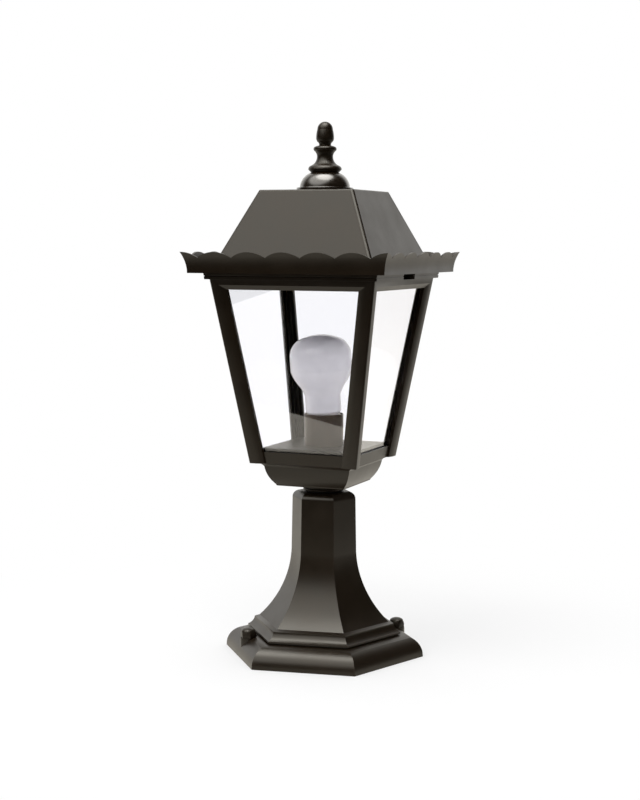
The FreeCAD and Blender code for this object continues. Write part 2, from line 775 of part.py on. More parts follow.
def roof():
    """One casting: pyramid with hip beads, gutter and scalloped gallery, open below over the upstand."""
    mouth = upstand_half() + SEAT_GAP
    wall = ROOF_WALL * math.hypot(1, roof_slope)
    pyramid = moulded(4, [
        (pyramid_foot_half, gutter),
        (pyramid_half(roof_top - ROOF_EDGE), roof_top - ROOF_EDGE),
        (ROOF_TOP_HALF - ROOF_EDGE, roof_top, ROOF_EDGE * QUARTER),
    ])
    hollow = moulded(4, [
        (mouth, roof_foot),
        (mouth, roof_step),
        (pyramid_half(roof_step) - wall, roof_step),
        (pyramid_half(roof_under) - wall, roof_under),
    ])
    gallery = gallery_wall()
    for cutter in four_ways(scallop_cutter()):
        gallery = gallery.cut(cutter)
    body = gallery.fuse([pyramid] + four_ways(hip_bead())).cut(hollow)
    body = body.cut(rod(FINIAL_STUD_R + HOLE_GAP, roof_under, roof_top))
    return body.removeSplitter()


def dome_cap():
    """Hollow turned dome with a flange, on top of the roof."""
    bore = FINIAL_STUD_R + HOLE_GAP
    inner_top = dome_top - DOME_WALL
    return turned([
        (DOME_R - DOME_WALL, roof_top),
        (DOME_FLANGE_R, roof_top),
        (DOME_FLANGE_R, dome_spring),
        (DOME_R, dome_spring),
        (DOME_TOP_R, dome_top, DOME_SAG),
        (bore, dome_top),
        (bore, inner_top),
        (DOME_TOP_R - DOME_WALL, inner_top),
        (DOME_R - DOME_WALL, dome_spring, -DOME_SAG),
    ])


def finial():
    """Turned acorn finial with a blind bore for its stud."""
    steps = [
        (SKIRT_R, SKIRT_RISE, SKIRT_SAG),
        (SKIRT_TOP_R, SKIRT_HEIGHT, SKIRT_TOP_SAG),
        (WAIST_R, WAIST_FALL, -WAIST_SAG),
        (BELL_R, BELL_HEIGHT, -BELL_SAG),
        (RING_TOP_R, RING_HEIGHT, RING_SAG),
        (NECK_R, RING_SLOPE, RING_SLOPE_SAG),
        (ACORN_FOOT_R, NECK_HEIGHT, -NECK_SAG),
        (ACORN_R, ACORN_CHEEK, ACORN_CHEEK_SAG),
        (ACORN_TOP_R, ACORN_HEIGHT, ACORN_SAG),
        (0, ACORN_TIP, tangent_sag(ACORN_TIP, ACORN_TOP_R)),
    ]
    points = [(0, dome_top), (SKIRT_FOOT_R, dome_top)]
    z = dome_top
    for radius, rise, sag in steps:
        z += rise
        points.append((radius, z, sag))
    bore = rod(FINIAL_STUD_R + THREAD_GAP, dome_top, dome_top + FINIAL_STUD_HOLD + SEAT_GAP)
    return turned(points).cut(bore)


def finial_washer():
    """Washer under the roof's top."""
    return ring(FINIAL_WASHER_R, FINIAL_STUD_R + HOLE_GAP, roof_under - FINIAL_WASHER, roof_under)


def finial_nut():
    """Nut that pulls finial and dome down on the roof."""
    high = roof_under - FINIAL_WASHER
    return hex_nut(FINIAL_NUT_HALF, FINIAL_STUD_R + THREAD_GAP, high - FINIAL_NUT, high)


def finial_stud():
    """Stud from the finial through dome and roof to its nut."""
    low = roof_under - FINIAL_WASHER - FINIAL_NUT - FINIAL_STUD_END
    return rod(FINIAL_STUD_R, low, dome_top + FINIAL_STUD_HOLD)


def nodes():
    """Every piece of the lamp by name."""
    pieces = {
        "pedestal": pedestal(),
        "anchor_washers": anchor_washers(),
        "cap_nuts": cap_nuts(),
        "neck_gasket": neck_gasket(),
        "neck_collar": neck_collar(),
        "neck_tube": neck_tube(),
        "tube_washers": tube_washers(),
        "tube_nuts": tube_nuts(),
        "lantern_cage": lantern_cage(),
        "floor_plate": floor_plate(),
        "holder_sleeve": holder_sleeve(),
        "lamp_holder": lamp_holder(),
        "screw_shell": screw_shell(),
        "centre_contact": centre_contact(),
        "terminal_screws": terminal_screws(),
        "bulb": bulb(),
        "earth_screw": earth_screw(),
        "roof": roof(),
        "dome_cap": dome_cap(),
        "finial": finial(),
        "finial_stud": finial_stud(),
        "finial_washer": finial_washer(),
        "finial_nut": finial_nut(),
    }
    for side, shape in zip(("front", "right", "back", "left"), four_ways(pane())):
        pieces["glass_" + side] = shape
    return pieces


def main():
    os.makedirs("parts", exist_ok=True)
    for name, shape in nodes().items():
        shape.exportStep("parts/" + name + ".step")
        print(name, len(shape.Solids), shape.isValid(), round(shape.Volume, 1))


main()
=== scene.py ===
import math

import bmesh
import bpy
from mathutils import Matrix, Vector


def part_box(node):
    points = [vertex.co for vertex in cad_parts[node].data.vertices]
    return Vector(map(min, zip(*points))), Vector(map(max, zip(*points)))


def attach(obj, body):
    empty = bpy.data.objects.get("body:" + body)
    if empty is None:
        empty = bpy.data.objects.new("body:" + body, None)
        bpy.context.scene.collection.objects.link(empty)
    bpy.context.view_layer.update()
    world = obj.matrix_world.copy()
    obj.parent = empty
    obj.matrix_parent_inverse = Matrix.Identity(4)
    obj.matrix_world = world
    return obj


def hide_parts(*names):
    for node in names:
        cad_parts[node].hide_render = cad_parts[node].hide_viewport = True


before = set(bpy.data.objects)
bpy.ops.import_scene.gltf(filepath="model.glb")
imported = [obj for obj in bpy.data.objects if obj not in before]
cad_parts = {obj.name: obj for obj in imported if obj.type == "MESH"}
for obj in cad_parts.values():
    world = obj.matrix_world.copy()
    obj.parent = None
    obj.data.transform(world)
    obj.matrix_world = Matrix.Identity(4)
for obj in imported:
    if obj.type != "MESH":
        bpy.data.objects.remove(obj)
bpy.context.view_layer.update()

bl_info = {
    "name": "Pedestal lamp",
    "version": (1, 0, 0),
    "blender": (4, 5, 0),
    "location": "View3D > Sidebar > Pedestal lamp",
    "description": "Dresses the pedestal lamp's solids with eased castings, glass and a plain studio",
    "category": "Object",
}

BASE = "lamp_base"
ROOF = "roof_assembly"
MM = 0.001
ROOT2 = math.sqrt(2)

# Level directions from the lamp's axis to the camera, and to the camera's right
FRONT = Vector((0.3843, -0.9232, 0))
SIDE = Vector((0.9232, 0.3843, 0))

# Points closer than this are one, and faces that meet at less than this angle are one flat
WELD = 0.001 * MM
FLAT_ANGLE = math.radians(0.5)
# Edges over these angles are rounded, or kept sharp in the shading
EASED_ANGLE = math.radians(24)
SHARP_ANGLE = math.radians(40)

# The range that most values of a noise texture lie in, and how rough its finer layers are
NOISE_LOW, NOISE_HIGH = 0.3, 0.7
NOISE_ROUGHNESS = 0.55

# Refractive index of the panes and of the coat
INDEX = 1.5
WHITE = (1, 1, 1, 1)
# A light path with a depth under this has had no such bounce
NO_BOUNCE = 0.5
# The white seen through a pane is raised by this for each face of glass, for what the glass takes away
GLAZING_GAIN = 0.037


def linear(hex_colour):
    """An sRGB hex colour as linear red, green, blue and alpha."""
    channels = [int(hex_colour[i:i + 2], 16) / 255 for i in (1, 3, 5)]
    curve = [c / 12.92 if c <= 0.04045 else ((c + 0.055) / 1.055) ** 2.4 for c in channels]
    return (*curve, 1.0)


def colour(name, description, hex_colour):
    """A colour setting."""
    return bpy.props.FloatVectorProperty(
        name=name, description=description, subtype="COLOR", size=4, min=0, max=1, default=linear(hex_colour),
    )


def length(name, description, size_mm):
    """A length setting, given in millimetres."""
    return bpy.props.FloatProperty(
        name=name, description=description, unit="LENGTH", min=0, precision=4, default=size_mm * MM,
    )


def factor(name, description, share):
    """A setting from 0 to 1."""
    return bpy.props.FloatProperty(
        name=name, description=description, subtype="FACTOR", min=0, max=1, default=share,
    )


class LampColours(bpy.types.PropertyGroup):
    """Colours of the lamp's finishes."""

    coat: colour("Powder coat", "Dark bronze of the castings", "#160f07")
    sheen: colour("Coat sheen", "Warm tint of the coat's own gloss", "#fffef7")
    lamp: colour("Lamp glass", "White of the frosted lamp", "#f5f3f7")
    pane: colour("Pane glass", "Faint tint of the clear panes", "#fdfdff")
    steel: colour("Plated steel", "Zinc on nuts, washers, screws and tube", "#b4b6b4")
    brass: colour("Brass", "Bare brass of the lamp holder's contacts", "#c8a45c")
    ceramic: colour("Ceramic", "Unglazed body of the lamp holder", "#e6e0d4")
    sleeve: colour("Holder sleeve", "Dark brown of the sleeve round the lamp holder", "#4a3f35")
    rubber: colour("Rubber", "Gasket under the neck collar", "#191919")
    floor: colour("Floor", "Paper under the lamp", "#f4f4f4")


class LampFinishes(bpy.types.PropertyGroup):
    """Gloss and depth of the lamp's finishes."""

    casting: factor("Casting roughness", "Roughness of the coat on the castings", 0.31)
    dome: factor("Dome roughness", "Roughness of the coat on the dome", 0.3)
    finial: factor("Finial roughness", "Roughness of the coat on the finial", 0.36)
    small: factor("Small piece roughness", "Roughness of the coat on collar, plate, washers and nuts", 0.4)
    coat_gloss: factor("Coat gloss", "Strength of the coat's own gloss, 0.5 being that of its index", 0.3)
    coat_drift: factor("Coat drift", "Share by which the coat's colour drifts", 0.15)
    lacquer: factor("Dome lacquer", "Weight of the clear lacquer over the dome's coat", 0.9)
    lacquer_rough: factor("Lacquer roughness", "Roughness of the clear lacquer", 0.14)
    frost: factor("Frost roughness", "Roughness of the white inside the lamp's glass", 0.6)
    frost_drift: factor("Frost drift", "Share by which the white of the lamp's glass drifts", 0.04)
    frost_skin: factor("Frost skin", "Roughness of the clear gloss over the lamp's white", 0.03)
    frost_glow: factor("Frost glow", "Share of the light that the lamp's glass lets through", 0.22)
    paper: factor("Paper roughness", "Roughness of the floor's paper", 0.9)


class LampSizes(bpy.types.PropertyGroup):
    """Sizes of the details that the finish adds."""

    edge: length("Casting edge", "Round on the edges of the castings", 0.6)
    rim: length("Roof edge", "Round on the edges of the roof and its scallops", 0.9)
    bead: length("Hip bead", "Radius of the bead along the roof's hips", 2.6)
    bead_sink: length("Hip bead sink", "From the roof's hip down to the axis of its bead", 1.8)
    hip_crown: length("Hip crown", "From the plain rounding of a hip out to its top", 0.45)
    pane_edge: length("Pane edge", "Ground arris of the panes", 0.25)
    ripple: length("Pane ripple", "Width of the faint waves in the panes", 90)
    frost: length("Lamp frost", "Width of the faint patches in the lamp's white", 9)
    peel: length("Coat texture", "Width of the powder coat's fine bumps", 2.6)
    cloud: length("Coat clouding", "Width of the coat's soft patches", 28)
    swell: length("Casting swell", "Width of the slow waves in the castings", 42)
    nut_half: length("Cap nut", "Half the width across flats of a cap nut", 6.5)
    nut_hexagon: length("Cap nut hexagon", "Height of a cap nut's hexagon", 6.0)
    nut_chamfer: length("Cap nut chamfer", "Fall of the chamfer at a cap nut's corners", 2.0)
    anchor_radius: length("Anchor circle", "From the lamp's axis to an anchor", 74)
    anchor_turn: bpy.props.FloatProperty(
        name="Anchor direction", description="Direction of one anchor, from the right",
        subtype="ANGLE", default=math.radians(39.74),
    )


class LampStage(bpy.types.PropertyGroup):
    """Sizes and light of the stage."""

    floor_near: length("Floor front", "From the lamp's axis to the front edge of the floor", 418)
    floor_far: length("Floor back", "From the lamp's axis to the back edge of the floor", 3000)
    floor_half: length("Floor half", "Half the width of the floor", 2500)
    key_width: length("Key box width", "Width of the soft box above the lamp", 1800)
    key_height: length("Key box height", "Height of the soft box above the lamp", 900)
    key_power: bpy.props.FloatProperty(
        name="Key box power", description="Power of the soft box above the lamp",
        unit="POWER", min=0, default=15,
    )


class LampSettings(bpy.types.PropertyGroup):
    """All settings of the lamp."""

    colours: bpy.props.PointerProperty(name="Colours", description="Colours of finishes", type=LampColours)
    finishes: bpy.props.PointerProperty(name="Finishes", description="Gloss and depth", type=LampFinishes)
    sizes: bpy.props.PointerProperty(name="Sizes", description="Sizes of the details", type=LampSizes)
    stage: bpy.props.PointerProperty(name="Stage", description="Floor and light", type=LampStage)


def add(tree, kind, links=None, **settings):
    """A node with its settings. Inputs are set by name or number, to a value or to another node's output."""
    node = tree.nodes.new(kind)
    for key, value in settings.items():
        setattr(node, key, value)
    for key, value in (links or {}).items():
        if isinstance(value, bpy.types.NodeSocket):
            tree.links.new(value, node.inputs[key])
        else:
            node.inputs[key].default_value = value
    return node


def maths(tree, operation, *values):
    """Result of a math node."""
    return add(tree, "ShaderNodeMath", dict(enumerate(values)), operation=operation).outputs[0]


def along(tree, place, direction):
    """How far a place lies along a direction."""
    links = {0: place, 1: direction}
    return add(tree, "ShaderNodeVectorMath", links, operation="DOT_PRODUCT").outputs["Value"]


def ramp(tree, value, start, end, low=0.0, high=1.0):
    """Soft step of a value, from low at its start to high at its end."""
    links = {"Value": value, "From Min": start, "From Max": end, "To Min": low, "To Max": high}
    return add(tree, "ShaderNodeMapRange", links, interpolation_type="SMOOTHSTEP").outputs["Result"]


def blend(tree, share, first, second, kind="FLOAT"):
    """A number or colour between two others."""
    links = {"Factor": share, "A": first, "B": second}
    return add(tree, "ShaderNodeMix", links, data_type=kind).outputs["Result"]


def sockets(name):
    """New material with its node tree, shader and Object coordinates."""
    material = bpy.data.materials.new(name)
    material.use_nodes = True
    tree = material.node_tree
    shader = tree.nodes["Principled BSDF"]
    place = add(tree, "ShaderNodeTexCoord").outputs["Object"]
    return material, tree, shader, place


def mixed_surface(tree, share, first, second):
    """Shows a mix of two shaders as the material's surface."""
    mixed = add(tree, "ShaderNodeMixShader", {0: share, 1: first.outputs[0], 2: second.outputs[0]})
    tree.links.new(mixed.outputs[0], tree.nodes["Material Output"].inputs["Surface"])


def noise(tree, place, size, detail):
    """Noise with features of a size, as a factor."""
    links = {"Vector": place, "Scale": 1 / size, "Detail": detail, "Roughness": NOISE_ROUGHNESS}
    return add(tree, "ShaderNodeTexNoise", links).outputs["Fac"]


def spread(tree, value, low, high):
    """Noise factor, spread over a range of values."""
    links = {"Value": value, "From Min": NOISE_LOW, "From Max": NOISE_HIGH, "To Min": low, "To Max": high}
    return add(tree, "ShaderNodeMapRange", links).outputs["Result"]


def tones(tree, value, base, share):
    """Colour that drifts by a share of itself to both sides."""
    scale = add(tree, "ShaderNodeValToRGB", {"Fac": value})
    ends = scale.color_ramp.elements
    for end, position, gain in ((ends[0], NOISE_LOW, 1 - share), (ends[1], NOISE_HIGH, 1 + share)):
        end.position = position
        end.color = (*(min(1, gain * c) for c in base[:3]), 1)
    return scale.outputs["Color"]


def powder_coat(name, lamp, roughness, lacquer=0.0):
    """Polyester powder coat baked on cast aluminium: a dark satin skin with a fine orange peel
    and soft cloudy patches where the casting under it is a little uneven."""
    smoother, duller = 0.03, 0.04
    material, tree, shader, place = sockets(name)
    cloud = noise(tree, place, lamp.sizes.cloud, detail=3)
    swell = noise(tree, place, lamp.sizes.swell, detail=1)
    peel = noise(tree, place, lamp.sizes.peel, detail=2)
    wave = add(tree, "ShaderNodeBump", {"Height": swell, "Strength": 0.1, "Distance": 1.2 * MM})
    skin = add(tree, "ShaderNodeBump", {
        "Height": peel, "Normal": wave.outputs["Normal"], "Strength": 0.025, "Distance": 0.1 * MM,
    })
    bronze = tones(tree, cloud, lamp.colours.coat, lamp.finishes.coat_drift)
    tree.links.new(bronze, shader.inputs["Base Color"])
    satin = spread(tree, cloud, roughness - smoother, roughness + duller)
    tree.links.new(satin, shader.inputs["Roughness"])
    tree.links.new(skin.outputs["Normal"], shader.inputs["Normal"])
    shader.inputs["Specular Tint"].default_value = lamp.colours.sheen
    shader.inputs["IOR"].default_value = INDEX
    shader.inputs["Specular IOR Level"].default_value = lamp.finishes.coat_gloss
    shader.inputs["Coat Weight"].default_value = lacquer
    shader.inputs["Coat Roughness"].default_value = lamp.finishes.lacquer_rough
    return material


def bare(name, base, metallic, roughness, grain_mm):
    """A small fitting's bare material, with a faint grain in its gloss."""
    drift = 0.05
    material, tree, shader, place = sockets(name)
    grain = noise(tree, place, grain_mm * MM, detail=2)
    tree.links.new(spread(tree, grain, roughness - drift, roughness + drift), shader.inputs["Roughness"])
    shader.inputs["Base Color"].default_value = base
    shader.inputs["Metallic"].default_value = metallic
    return material


def float_glass(lamp):
    """Float glass: colourless and flat, with the faint waves of a drawn sheet."""
    material, tree, shader, place = sockets("float_glass")
    ripple = noise(tree, place, lamp.sizes.ripple, detail=0)
    bump = add(tree, "ShaderNodeBump", {"Height": ripple, "Strength": 0.02, "Distance": 1.0 * MM})
    tree.links.new(bump.outputs["Normal"], shader.inputs["Normal"])
    shader.inputs["Base Color"].default_value = lamp.colours.pane
    shader.inputs["Roughness"].default_value = 0.0
    shader.inputs["IOR"].default_value = INDEX
    shader.inputs["Transmission Weight"].default_value = 1.0
    return material


def frosted_glass(lamp):
    """Lamp glass, etched white inside and fire-polished outside: light passes it softly,
    and a clear gloss lies over the white."""
    material, tree, shader, place = sockets("frosted_lamp_glass")
    frost = noise(tree, place, lamp.sizes.frost, detail=4)
    white = tones(tree, frost, lamp.colours.lamp, lamp.finishes.frost_drift)
    tree.links.new(white, shader.inputs["Base Color"])
    shader.inputs["Roughness"].default_value = lamp.finishes.frost
    shader.inputs["Coat Weight"].default_value = 1.0
    shader.inputs["Coat Roughness"].default_value = lamp.finishes.frost_skin
    through = add(tree, "ShaderNodeBsdfTranslucent", {"Color": white})
    mixed_surface(tree, lamp.finishes.frost_glow, shader, through)
    return material


def dress(material, *nodes):
    """Gives CAD nodes that keep their own shape a material."""
    for node in nodes:
        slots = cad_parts[node].data.materials
        slots.clear()
        slots.append(material)


def merged(node):
    """A CAD node's faces as one welded mesh in progress, with its flat areas whole."""
    bm = bmesh.new()
    bm.from_mesh(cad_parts[node].data)
    bmesh.ops.remove_doubles(bm, verts=bm.verts, dist=WELD)
    bmesh.ops.dissolve_limit(bm, angle_limit=FLAT_ANGLE, verts=bm.verts, edges=bm.edges)
    return bm


def ease(bm, width):
    """Rounds the sharp edges of a mesh in progress."""
    sharp = [e for e in bm.edges if e.is_manifold and e.calc_face_angle(0) > EASED_ANGLE]
    bmesh.ops.bevel(
        bm, geom=sharp, offset=width, offset_type="OFFSET", segments=2, profile=0.5,
        affect="EDGES", clamp_overlap=True, loop_slide=True,
    )


def smooth(mesh):
    """Shades a mesh smooth, apart from its sharp edges."""
    if "custom_normal" in mesh.attributes:
        mesh.attributes.remove(mesh.attributes["custom_normal"])
    mesh.shade_smooth()
    mesh.set_sharp_from_angle(angle=SHARP_ANGLE)


def shaped(bm, name, *materials):
    """New object in the scene from a mesh in progress."""
    mesh = bpy.data.meshes.new(name)
    bm.to_mesh(mesh)
    bm.free()
    smooth(mesh)
    mesh.materials.clear()
    for material in materials:
        mesh.materials.append(material)
    piece = bpy.data.objects.new(name, mesh)
    bpy.context.scene.collection.objects.link(piece)
    return piece


def stand_for(piece, body, slot, *nodes):
    """Lets a finished piece ride a body in place of CAD nodes."""
    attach(piece, body)
    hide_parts(*nodes)


def copies_tree():
    """Geometry Nodes tree that sets copies of a piece evenly about the lamp's axis."""
    tree = bpy.data.node_groups.new("copies_about_axis", "GeometryNodeTree")
    for name, kind in (
        ("Piece", "NodeSocketObject"), ("Copies", "NodeSocketInt"),
        ("Radius", "NodeSocketFloat"), ("First direction", "NodeSocketFloat"),
        ("Level", "NodeSocketFloat"), ("Material", "NodeSocketMaterial"),
    ):
        tree.interface.new_socket(name, in_out="INPUT", socket_type=kind)
    tree.interface.new_socket("Geometry", in_out="OUTPUT", socket_type="NodeSocketGeometry")
    given = add(tree, "NodeGroupInput").outputs
    row = add(tree, "GeometryNodeMeshLine", {"Count": given["Copies"], "Offset": (0, 0, 0)})
    step = maths(tree, "DIVIDE", math.tau, given["Copies"])
    index = add(tree, "GeometryNodeInputIndex").outputs[0]
    angle = maths(tree, "MULTIPLY_ADD", index, step, given["First direction"])
    x = maths(tree, "MULTIPLY", given["Radius"], maths(tree, "COSINE", angle))
    y = maths(tree, "MULTIPLY", given["Radius"], maths(tree, "SINE", angle))
    spot = add(tree, "ShaderNodeCombineXYZ", {0: x, 1: y, 2: given["Level"]})
    spots = add(tree, "GeometryNodeSetPosition", {"Geometry": row.outputs[0], "Position": spot.outputs[0]})
    about_axis = add(tree, "ShaderNodeCombineXYZ", {2: angle})
    turn = add(tree, "FunctionNodeEulerToRotation", {0: about_axis.outputs[0]})
    model = add(tree, "GeometryNodeObjectInfo", {"Object": given["Piece"]})
    placed = add(tree, "GeometryNodeInstanceOnPoints", {
        "Points": spots.outputs[0], "Instance": model.outputs["Geometry"], "Rotation": turn.outputs[0],
    })
    real = add(tree, "GeometryNodeRealizeInstances", {0: placed.outputs[0]})
    done = add(tree, "GeometryNodeSetMaterial", {"Geometry": real.outputs[0], "Material": given["Material"]})
    add(tree, "NodeGroupOutput", {0: done.outputs[0]})
    return tree


def copies(name, model, material, count, radius=0.0, direction=0.0, level=0.0):
    """Plain mesh object of copies of a model about the axis. The model is used up."""
    tree = bpy.data.node_groups.get("copies_about_axis") or copies_tree()
    piece = bpy.data.objects.new(name, bpy.data.meshes.new(name))
    bpy.context.scene.collection.objects.link(piece)
    modifier = piece.modifiers.new("Copies", "NODES")
    modifier.node_group = tree
    values = {
        "Piece": model, "Copies": count, "Radius": radius,
        "First direction": direction, "Level": level, "Material": material,
    }
    for item in tree.interface.items_tree:
        if item.in_out == "INPUT":
            modifier[item.identifier] = values[item.name]
    result = piece.evaluated_get(bpy.context.evaluated_depsgraph_get())
    mesh = bpy.data.meshes.new_from_object(result)
    piece.modifiers.remove(modifier)
    piece.data = mesh
    mesh.name = name
    bpy.data.objects.remove(model)
    if not mesh.polygons:
        raise RuntimeError(name + " came out empty")
    return piece


class LAMP_OT_castings(bpy.types.Operator):
    """Eases the edges of the castings and of the dome, and coats them"""

    bl_idname = "lamp.castings"
    bl_label = "Castings"

    def execute(self, context):
        lamp = context.scene.pedestal_lamp
        satin = powder_coat("bronze_powder_coat", lamp, lamp.finishes.casting)
        gloss = powder_coat("bronze_gloss_coat", lamp, lamp.finishes.dome, lamp.finishes.lacquer)
        for node, name, body, coat, width in (
            ("pedestal", "pedestal_casting", BASE, satin, lamp.sizes.edge),
            ("lantern_cage", "cage_casting", BASE, satin, lamp.sizes.edge),
            ("roof", "roof_casting", ROOF, satin, lamp.sizes.rim),
            ("dome_cap", "dome_turning", ROOF, gloss, lamp.sizes.edge),
        ):
            bm = merged(node)
            if node == "roof":
                self.soften_hips(bm, lamp.sizes)
            ease(bm, width)
            piece = shaped(bm, name, coat)
            piece.modifiers.new("Face weighting", "WEIGHTED_NORMAL").keep_sharp = True
            stand_for(piece, body, "coat", node)
        return {"FINISHED"}

    def soften_hips(self, bm, sizes):
        """Presses the bead on each hip of the roof down to one soft rounding.

        At any level the roof is a square whose corners carry the beads. A rounding there runs from foot to
        foot of a bead, and the bead's points move level towards the rounding's centre. They keep their
        order, so that no face folds over."""
        # Least outward and upward part of the roof slope's normal
        least_out, least_up = 0.8, 0.2
        # A point past this share of the bead's radius is off the bead, and one closer than this is in place
        past_bead, in_place = 1.01, 0.005 * MM
        slopes = [f for f in bm.faces if f.normal.x > least_out and f.normal.z > least_up]
        slope = max(slopes, key=lambda f: f.calc_area())
        normal = slope.normal.copy()
        reach = normal.dot(slope.verts[0].co)
        outward = Vector((normal.x, normal.x, 2 * normal.z))
        lean = outward.length / 2
        outward.normalize()
        level = ROOT2 * outward.x
        axis = -ROOT2 * sizes.bead_sink * level
        radius = ROOT2 * sizes.bead
        crown = (ROOT2 - 1) * radius + (sizes.bead + axis) / level
        for vert in bm.verts:
            x, y, z = abs(vert.co.x), abs(vert.co.y), vert.co.z
            height = outward.dot((x, y, z)) - reach / lean
            share = math.hypot((x - y) / ROOT2, height - axis) / sizes.bead
            centre = (reach - normal.z * z) / normal.x - radius
            out_x, out_y = x - centre, y - centre
            proud = math.hypot(out_x, out_y) - radius
            if share > past_bead or min(out_x, out_y) < 0 or proud < in_place:
                continue
            shrink = (radius + sizes.hip_crown * proud / crown) / (radius + proud)
            vert.co.x = math.copysign(centre + out_x * shrink, vert.co.x)
            vert.co.y = math.copysign(centre + out_y * shrink, vert.co.y)


class LAMP_OT_turnings(bpy.types.Operator):
    """Coats the turned and folded pieces of the lantern"""

    bl_idname = "lamp.turnings"
    bl_label = "Turned pieces"

    def execute(self, context):
        lamp = context.scene.pedestal_lamp
        small = powder_coat("bronze_satin_coat", lamp, lamp.finishes.small)
        dress(small, "neck_collar", "floor_plate", "anchor_washers")
        dress(powder_coat("bronze_finial_coat", lamp, lamp.finishes.finial), "finial")
        return {"FINISHED"}


class LAMP_OT_cap_nuts(bpy.types.Operator):
    """Sets a domed nut on each anchor of the foot"""

    bl_idname = "lamp.cap_nuts"
    bl_label = "Cap nuts"

    def execute(self, context):
        lamp = context.scene.pedestal_lamp
        low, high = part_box("cap_nuts")
        coat = powder_coat("bronze_nut_coat", lamp, lamp.finishes.small)
        model = shaped(self.nut(lamp.sizes, high.z - low.z), "cap_nut", coat)
        piece = copies(
            "cap_nut_pair", model, coat, count=2, radius=lamp.sizes.anchor_radius,
            direction=lamp.sizes.anchor_turn, level=low.z,
        )
        stand_for(piece, BASE, "coat", "cap_nuts")
        return {"FINISHED"}

    def nut(self, sizes, height):
        """Hexagon with chamfered corners under a dome, as rings of points from the seat to the tip."""
        points, dome_rings = 72, 9
        half, shoulder = sizes.nut_half, sizes.nut_hexagon
        half_flat = math.pi / 6
        fall = sizes.nut_chamfer / (half / math.cos(half_flat) - half)
        around = [math.radians(360 / points * i) for i in range(points)]
        flats = [half / math.cos((a + half_flat) % (2 * half_flat) - half_flat) for a in around]
        rings = [
            [(r, 0) for r in flats],
            [(r, shoulder - fall * (r - half)) for r in flats],
        ]
        for i in range(dome_rings):
            rise = math.radians(90 / dome_rings * i)
            ring = (half * math.cos(rise), shoulder + (height - shoulder) * math.sin(rise))
            rings.append([ring] * points)
        bm = bmesh.new()
        verts = [
            [bm.verts.new((r * math.cos(a), r * math.sin(a), z)) for a, (r, z) in zip(around, ring)]
            for ring in rings
        ]
        for lower, upper in zip(verts, verts[1:]):
            for i in range(points):
                bm.faces.new((lower[i - 1], lower[i], upper[i], upper[i - 1]))
        tip = bm.verts.new((0, 0, height))
        for i in range(points):
            bm.faces.new((verts[-1][i - 1], verts[-1][i], tip))
        bm.faces.new(reversed(verts[0]))
        bmesh.ops.remove_doubles(bm, verts=bm.verts, dist=WELD)
        return bm


class LAMP_OT_panes(bpy.types.Operator):
    """Glazes the lantern's four sides"""

    bl_idname = "lamp.panes"
    bl_label = "Panes"

    def execute(self, context):
        lamp = context.scene.pedestal_lamp
        glass = float_glass(lamp)
        bm = merged("glass_front")
        ease(bm, lamp.sizes.pane_edge)
        pane = shaped(bm, "pane", glass)
        pane.data.shade_flat()
        piece = copies("lantern_panes", pane, glass, count=4)
        stand_for(piece, BASE, "pane_glass", "glass_front", "glass_right", "glass_back", "glass_left")
        return {"FINISHED"}


class LAMP_OT_bulb(bpy.types.Operator):
    """Frosts the lamp's glass and gives it a metal cap"""

    bl_idname = "lamp.bulb"
    bl_label = "Lamp"

    def execute(self, context):
        lamp = context.scene.pedestal_lamp
        cap = bare("nickelled_lamp_cap", lamp.colours.steel, metallic=1.0, roughness=0.3, grain_mm=2)
        bm = merged("bulb")
        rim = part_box("lamp_holder")[1].z
        for face in bm.faces:
            face.material_index = int(face.calc_center_median().z < rim)
        piece = shaped(bm, "frosted_lamp", frosted_glass(lamp), cap)
        stand_for(piece, BASE, "frosted_glass", "bulb")
        return {"FINISHED"}


class LAMP_OT_fittings(bpy.types.Operator):
    """Finishes the small bare fittings"""

    bl_idname = "lamp.fittings"
    bl_label = "Fittings"

    def execute(self, context):
        colours = context.scene.pedestal_lamp.colours
        for name, base, metallic, roughness, grain_mm, nodes in (
            ("zinc_plated_steel", colours.steel, 1.0, 0.38, 2, (
                "neck_tube", "tube_washers", "tube_nuts", "terminal_screws", "earth_screw",
                "finial_stud", "finial_washer", "finial_nut",
            )),
            ("bare_brass", colours.brass, 1.0, 0.3, 2, ("screw_shell", "centre_contact")),
            ("unglazed_steatite", colours.ceramic, 0.0, 0.6, 1, ("lamp_holder",)),
            ("grey_brown_plastic", colours.sleeve, 0.0, 0.3, 1, ("holder_sleeve",)),
            ("black_rubber", colours.rubber, 0.0, 0.75, 1, ("neck_gasket",)),
        ):
            dress(bare(name, base, metallic, roughness, grain_mm), *nodes)
        return {"FINISHED"}


